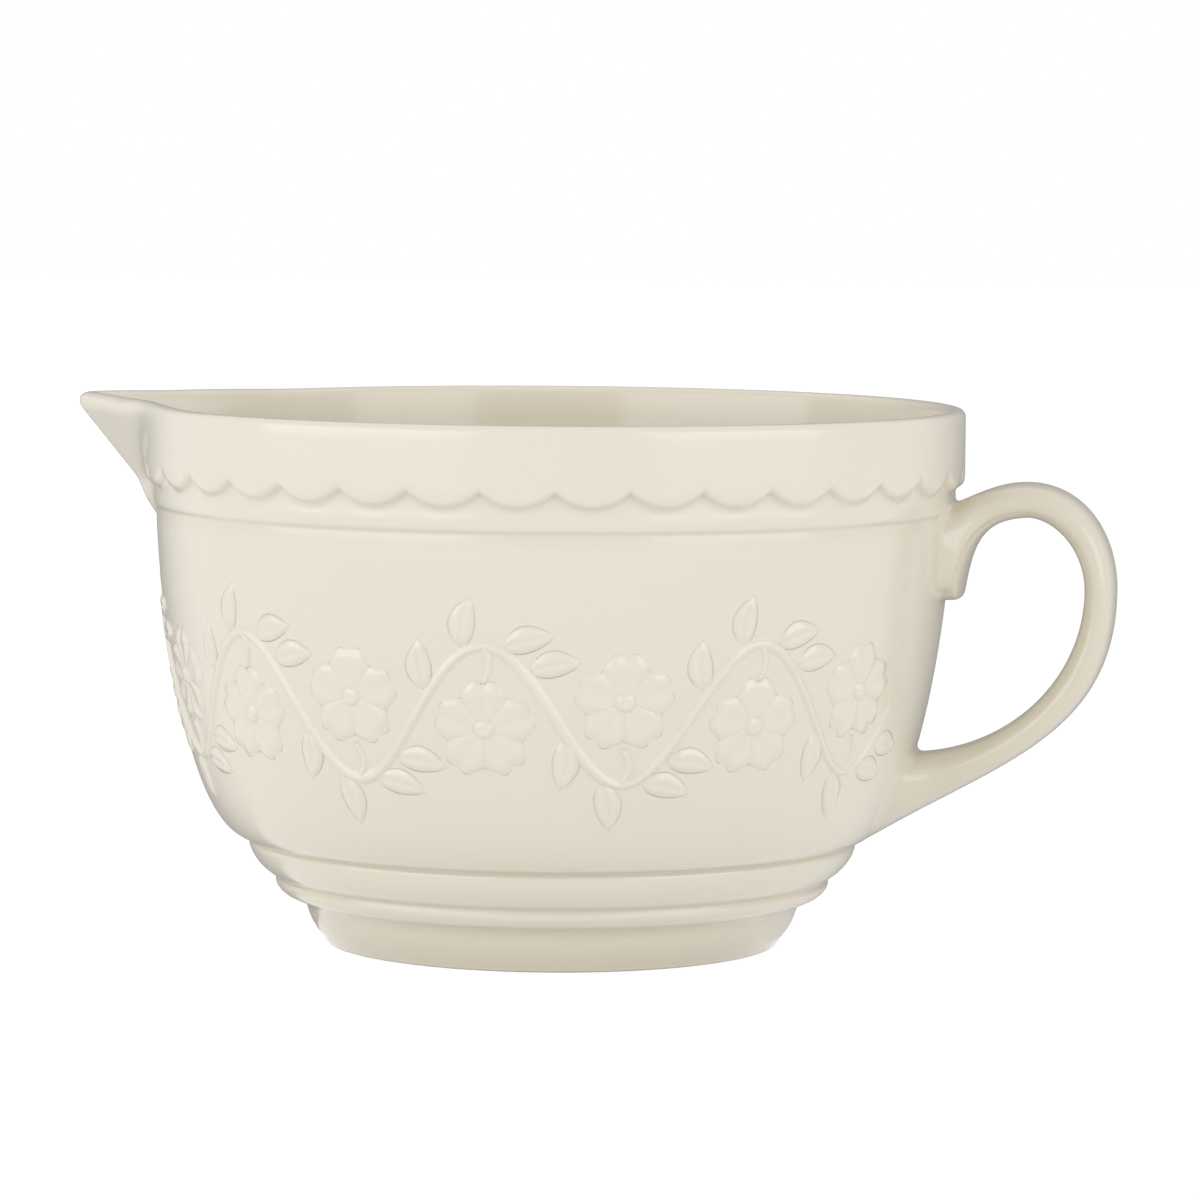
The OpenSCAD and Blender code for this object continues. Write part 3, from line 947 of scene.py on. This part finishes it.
def build_blossoms(settings):
    """The blossoms, each with its petals round an eye."""
    sizes = settings.vine
    bm = bmesh.new()
    pool = bm.verts.layers.float.new("pool")
    petal, eye = petal_shape(sizes), eye_shape(sizes)
    for (angle, height), side in Vine(sizes).tops():
        place = (angle, height - side * BLOSSOM_DROP * sizes.rise)
        for k in range(PETALS):
            turn = math.pi / 2 + 2 * math.pi * k / PETALS
            sprig(bm, pool, place, turn, (14, 14), petal)
        sprig(bm, pool, place, 0, (10, 10), eye)
    bmesh.ops.remove_doubles(bm, verts=bm.verts[:], dist=1e-6)
    piece = finished(capped(bm), "vine_blossoms", glaze(settings.glaze), "blossoms")


class Field:
    """A socket that can be used in sums, as numbers are."""

    def __init__(self, tree, socket):
        self.tree = tree
        self.socket = socket

    def maths(self, operation, *others):
        """A Math node on this value and others."""
        return self.tree.node("ShaderNodeMath", {"operation": operation}, (self, *others))

    def __add__(self, other):
        return self.maths("ADD", other)

    def __sub__(self, other):
        return self.maths("SUBTRACT", other)

    def __mul__(self, other):
        return self.maths("MULTIPLY", other)


class Tree:
    """The node tree of a material or the world."""

    def __init__(self, owner):
        owner.use_nodes = True
        self.nodes = owner.node_tree.nodes
        self.links = owner.node_tree.links
        self.nodes.clear()

    def node(self, kind, settings=None, sockets=(), out=0):
        """A node with its settings and its sockets, and one of its outputs as a Field."""
        made = self.nodes.new(kind)
        for key, value in (settings or {}).items():
            setattr(made, key, value)
        pairs = sockets.items() if isinstance(sockets, dict) else enumerate(sockets)
        for key, value in pairs:
            if isinstance(value, Field):
                self.links.new(value.socket, made.inputs[key])
            else:
                made.inputs[key].default_value = value
        return Field(self, made.outputs[out]) if made.outputs else None

    def blend(self, factor, first, second):
        """A colour between two, each a Field or three numbers."""
        shades = (c if isinstance(c, Field) else (*c, 1) for c in (first, second))
        sockets = dict(zip((0, 6, 7), (factor, *shades)))
        return self.node("ShaderNodeMix", {"data_type": "RGBA"}, sockets, out=2)

    def ramp(self, value, low, high, first, last):
        """A number that goes smoothly from first to last as a value goes from low to high."""
        sockets = {"Value": value, "From Min": low, "From Max": high}
        sockets.update({"To Min": first, "To Max": last})
        return self.node("ShaderNodeMapRange", {"interpolation_type": "SMOOTHSTEP"}, sockets)

    def noise(self, spot, scale, detail):
        """Soft noise from 0 to 1."""
        sockets = {"Vector": spot, "Scale": scale, "Detail": detail}
        return self.node("ShaderNodeTexNoise", sockets=sockets, out="Fac")


# How far the glaze drifts to its thin colour by itself, and to the pooled colour, which also paints
# shade, in a full hollow
DRIFT = 0.4
POOL_AND_SHADE_SHARE = 0.42


def glaze(look):
    """Cream glaze: darker in the hollows, as pooled glaze and painted shade, lighter on the edges,
    as thin glaze and a painted highlight, faintly uneven all over.
    """
    name = "cream_over_clay"
    if name in bpy.data.materials:
        return bpy.data.materials[name]
    material = bpy.data.materials.new(name)
    tree = Tree(material)
    spot = tree.node("ShaderNodeTexCoord", out="Object")
    pool = tree.node("ShaderNodeAttribute", {"attribute_name": "pool"}, out="Fac")
    cloud, ripple = tree.noise(spot, 26.0, 3.0), tree.noise(spot, 95.0, 2.0)
    height = tree.node("ShaderNodeSeparateXYZ", sockets={"Vector": spot}, out="Z")
    bare = tree.ramp(height, 0.2 * MM, 0.6 * MM, 1.0, 0.0)
    # Random drift in tone, and the thin colour as a painted highlight where the shading is below 0
    drift_and_sheen = (cloud - 0.5) * DRIFT + 0.1 + (pool * -1.0).maths("MAXIMUM", 0.0)
    skin = tree.blend(drift_and_sheen, look.cream, look.thin_and_sheen)
    # The pooled colour, as pooled glaze and painted shade where the shading is above 0
    skin = tree.blend(pool.maths("MAXIMUM", 0.0) * POOL_AND_SHADE_SHARE, skin, look.pooled_and_shade)
    skin = tree.blend(bare, skin, look.clay)
    bump = tree.node(
        "ShaderNodeBump",
        sockets={"Strength": 0.5, "Distance": 0.1 * MM, "Height": ripple + cloud},
    )
    surface = tree.node(
        "ShaderNodeBsdfPrincipled",
        sockets={
            "Base Color": skin,
            "Roughness": bare * 0.6 + (ripple - 0.5) * 0.06 + look.gloss,
            "Normal": bump,
            "Coat Weight": 0.4,
            "Coat Roughness": 0.08,
        },
    )
    tree.node("ShaderNodeOutputMaterial", sockets={"Surface": surface})
    return material


WHITE = (1, 1, 1, 1)


def seen_by_eye(tree):
    """1 for rays that the camera, a reflection or glass sends out, and 0 for light."""
    camera = tree.node("ShaderNodeLightPath", out="Is Camera Ray")
    glossy = tree.node("ShaderNodeLightPath", out="Is Glossy Ray")
    through = tree.node("ShaderNodeLightPath", out="Is Transmission Ray")
    return (camera + glossy + through).maths("MINIMUM", 1.0)


def build_floor(look):
    """A white floor that keeps a faint shadow of the bowl."""
    material = bpy.data.materials.new("studio_white")
    tree = Tree(material)
    seen = seen_by_eye(tree)
    matt = tree.node("ShaderNodeBsdfDiffuse", sockets={"Color": (*look.floor, 1)})
    white = tree.node("ShaderNodeEmission", sockets={"Color": WHITE, "Strength": 1.1})
    both = tree.node("ShaderNodeMixShader", sockets=(seen * 0.85, matt, white))
    tree.node("ShaderNodeOutputMaterial", sockets={"Surface": both})
    bm = bmesh.new()
    bmesh.ops.create_grid(bm, x_segments=1, y_segments=1, size=6)
    floor = new_object(bm, "studio_floor", material)


def build_world(look):
    """White all round for the eye, and a softer light from it on the bowl."""
    world = bpy.data.worlds.new("studio_light")
    bpy.context.scene.world = world
    tree = Tree(world)
    seen = seen_by_eye(tree)
    dim = tree.node(
        "ShaderNodeBackground", sockets={"Color": (1, 0.995, 0.98, 1), "Strength": look.ambient}
    )
    white = tree.node("ShaderNodeBackground", sockets={"Color": WHITE, "Strength": 1.0})
    both = tree.node("ShaderNodeMixShader", sockets=(seen, dim, white))
    tree.node("ShaderNodeOutputWorld", sockets={"Surface": both})


# The sweep behind the bowl in metres: its rows as (radius, height), the turn to each of its sides
# in degrees, and what is added to its spots, so that its shades run round a point to the left of
# the bowl and in front of it
SCREEN_ROWS = ((0.06, 0.0008), (0.34, 0.0008), (0.44, 0.02), (0.5, 0.08), (0.5, 0.6))
SCREEN_SIDE = 100
SCREEN_SHIFT = (0.05, 0.08, 0)


def build_screen(look):
    """A grey sweep round the back of the bowl, seen only as the dark rim of its reflections."""
    material = bpy.data.materials.new("screen_grey")
    tree = Tree(material)
    spot = tree.node("ShaderNodeTexCoord", out="Object")
    moved = tree.node("ShaderNodeVectorMath", {"operation": "ADD"}, (spot, SCREEN_SHIFT))
    way = tree.node("ShaderNodeVectorMath", {"operation": "NORMALIZE"}, (moved,))
    back = tree.node("ShaderNodeSeparateXYZ", sockets={"Vector": way}, out="Y")
    shade = tree.ramp(back, 0.4, 0.88, 1.0, look.screen)
    grey = tree.node("ShaderNodeEmission", sockets={"Color": WHITE, "Strength": shade})
    tree.node("ShaderNodeOutputMaterial", sockets={"Surface": grey})
    bm = bmesh.new()
    gaps = len(SCREEN_ROWS) - 1
    bmesh.ops.create_grid(bm, x_segments=48, y_segments=gaps, size=1)
    for vert in bm.verts:
        turn = math.radians(90 + SCREEN_SIDE * vert.co.x)
        radius, height = SCREEN_ROWS[round((vert.co.y + 1) / 2 * gaps)]
        vert.co = (-radius * math.cos(turn), radius * math.sin(turn), height)
    screen = new_object(bm, "grey_screen", material)
    screen.visible_camera = screen.visible_diffuse = screen.visible_shadow = False
    screen.visible_transmission = screen.visible_volume_scatter = False


LAMP_DISTANCE = 1.6
LAMP_COLOUR = (0.95, 0.975, 1)
BOWL_MIDDLE = Vector((0, 0, 0.07))


def soft_box(name, azimuth, elevation, size, power):
    """A rectangular lamp that looks at the bowl from an azimuth and an elevation in degrees."""
    lamp = bpy.data.lights.new(name, "AREA")
    lamp.shape = "RECTANGLE"
    lamp.size, lamp.size_y = size
    lamp.energy, lamp.color = power, LAMP_COLOUR
    holder = bpy.data.objects.new(name, lamp)
    bpy.context.scene.collection.objects.link(holder)
    a, e = math.radians(azimuth), math.radians(elevation)
    away = Vector((math.sin(a) * math.cos(e), -math.cos(a) * math.cos(e), math.sin(e)))
    holder.location = BOWL_MIDDLE + away * LAMP_DISTANCE
    holder.rotation_euler = away.to_track_quat("Z", "Y").to_euler()
    return holder


# The camera, fitted to the rim, the band, the mouldings and the foot in the photograph: angles
# in radians, and its distance from the bowl's axis and height above the table in metres
CAMERA_AZIMUTH = math.radians(10)
CAMERA_AIM = 0.008284
CAMERA_DIP = 0.085316
CAMERA_ROLL = 0.008044
CAMERA_DISTANCE = 1.42314
CAMERA_HEIGHT = 0.20972
CAMERA_LENS = 166.67


def build_camera():
    """The camera where the photograph was taken from."""
    data = bpy.data.cameras.new("photo_camera")
    data.lens, data.sensor_width, data.clip_end = CAMERA_LENS, 36, 100
    camera = bpy.data.objects.new("photo_camera", data)
    bpy.context.scene.collection.objects.link(camera)
    x = CAMERA_DISTANCE * math.sin(CAMERA_AZIMUTH)
    y = -CAMERA_DISTANCE * math.cos(CAMERA_AZIMUTH)
    camera.matrix_world = (
        Matrix.Translation((x, y, CAMERA_HEIGHT))
        @ Matrix.Rotation(CAMERA_AZIMUTH - CAMERA_AIM, 4, "Z")
        @ Matrix.Rotation(math.pi / 2 - CAMERA_DIP, 4, "X")
        @ Matrix.Rotation(CAMERA_ROLL, 4, "Z")
    )
    bpy.context.scene.camera = camera


def build_stage(settings):
    """Floor, light and camera."""
    look = settings.stage
    build_floor(look)
    build_world(look)
    build_screen(look)
    soft_box("left_soft_box", -44, 14, (2.0, 0.8), look.soft_box * 1.33)
    soft_box("right_soft_box", 62, 14, (1.6, 0.8), look.soft_box)
    back = soft_box("back_soft_box", 180, 35, (2.0, 1.0), look.soft_box * 0.8)
    back.visible_glossy = False
    build_camera()
    bpy.context.scene.view_settings.view_transform = "Standard"


class PieceOperator:
    """What every piece's operator shares."""

    bl_options = {"REGISTER", "UNDO"}
    build = None

    def execute(self, context):
        """Builds the piece from the scene's settings."""
        type(self).build(context.scene.batter_bowl)
        return {"FINISHED"}


class BATTERBOWL_OT_bowl(PieceOperator, bpy.types.Operator):
    """Build the bowl with its scalloped band and its spout"""

    bl_idname = "batter_bowl.bowl"
    bl_label = "Bowl, band and spout"
    build = staticmethod(build_bowl)


class BATTERBOWL_OT_handle(PieceOperator, bpy.types.Operator):
    """Build the strap handle"""

    bl_idname = "batter_bowl.handle"
    bl_label = "Handle"
    build = staticmethod(build_handle)


class BATTERBOWL_OT_stem(PieceOperator, bpy.types.Operator):
    """Build the running stem of the vine"""

    bl_idname = "batter_bowl.stem"
    bl_label = "Vine stem"
    build = staticmethod(build_stem)


class BATTERBOWL_OT_leaves(PieceOperator, bpy.types.Operator):
    """Build the leaves of the vine"""

    bl_idname = "batter_bowl.leaves"
    bl_label = "Vine leaves"
    build = staticmethod(build_leaves)


class BATTERBOWL_OT_blossoms(PieceOperator, bpy.types.Operator):
    """Build the blossoms of the vine"""

    bl_idname = "batter_bowl.blossoms"
    bl_label = "Blossoms"
    build = staticmethod(build_blossoms)


class BATTERBOWL_OT_stage(PieceOperator, bpy.types.Operator):
    """Build the floor, the lamps and the camera"""

    bl_idname = "batter_bowl.stage"
    bl_label = "Stage"
    build = staticmethod(build_stage)


OPERATORS = (
    BATTERBOWL_OT_bowl,
    BATTERBOWL_OT_handle,
    BATTERBOWL_OT_stem,
    BATTERBOWL_OT_leaves,
    BATTERBOWL_OT_blossoms,
    BATTERBOWL_OT_stage,
)


class BATTERBOWL_PT_panel(bpy.types.Panel):
    """Lists the bowl's settings and operators"""

    bl_idname = "BATTERBOWL_PT_panel"
    bl_label = "Batter Bowl"
    bl_space_type = "VIEW_3D"
    bl_region_type = "UI"
    bl_category = "Batter Bowl"

    def draw(self, context):
        """Draws every group of settings and one button for each piece."""
        settings = context.scene.batter_bowl
        for name in BatterBowl.__annotations__:
            group = getattr(settings, name)
            box = self.layout.box()
            for key in group.__annotations__:
                box.prop(group, key)
        for operator in OPERATORS:
            self.layout.operator(operator.bl_idname)


CLASSES = (
    BowlSizes,
    HandleSizes,
    VineSizes,
    GlazeLook,
    StageLook,
    BatterBowl,
    *OPERATORS,
    BATTERBOWL_PT_panel,
)


def register():
    """Registers the classes and the scene's settings."""
    for cls in CLASSES:
        bpy.utils.register_class(cls)
    bpy.types.Scene.batter_bowl = bpy.props.PointerProperty(type=BatterBowl)


def unregister():
    """Takes away what register added."""
    del bpy.types.Scene.batter_bowl
    for cls in reversed(CLASSES):
        bpy.utils.unregister_class(cls)


def main():
    """Builds every piece and the stage."""
    register()
    bpy.ops.batter_bowl.bowl()
    bpy.ops.batter_bowl.handle()
    bpy.ops.batter_bowl.stem()
    bpy.ops.batter_bowl.leaves()
    bpy.ops.batter_bowl.blossoms()
    bpy.ops.batter_bowl.stage()


if __name__ == "__main__":
    main()
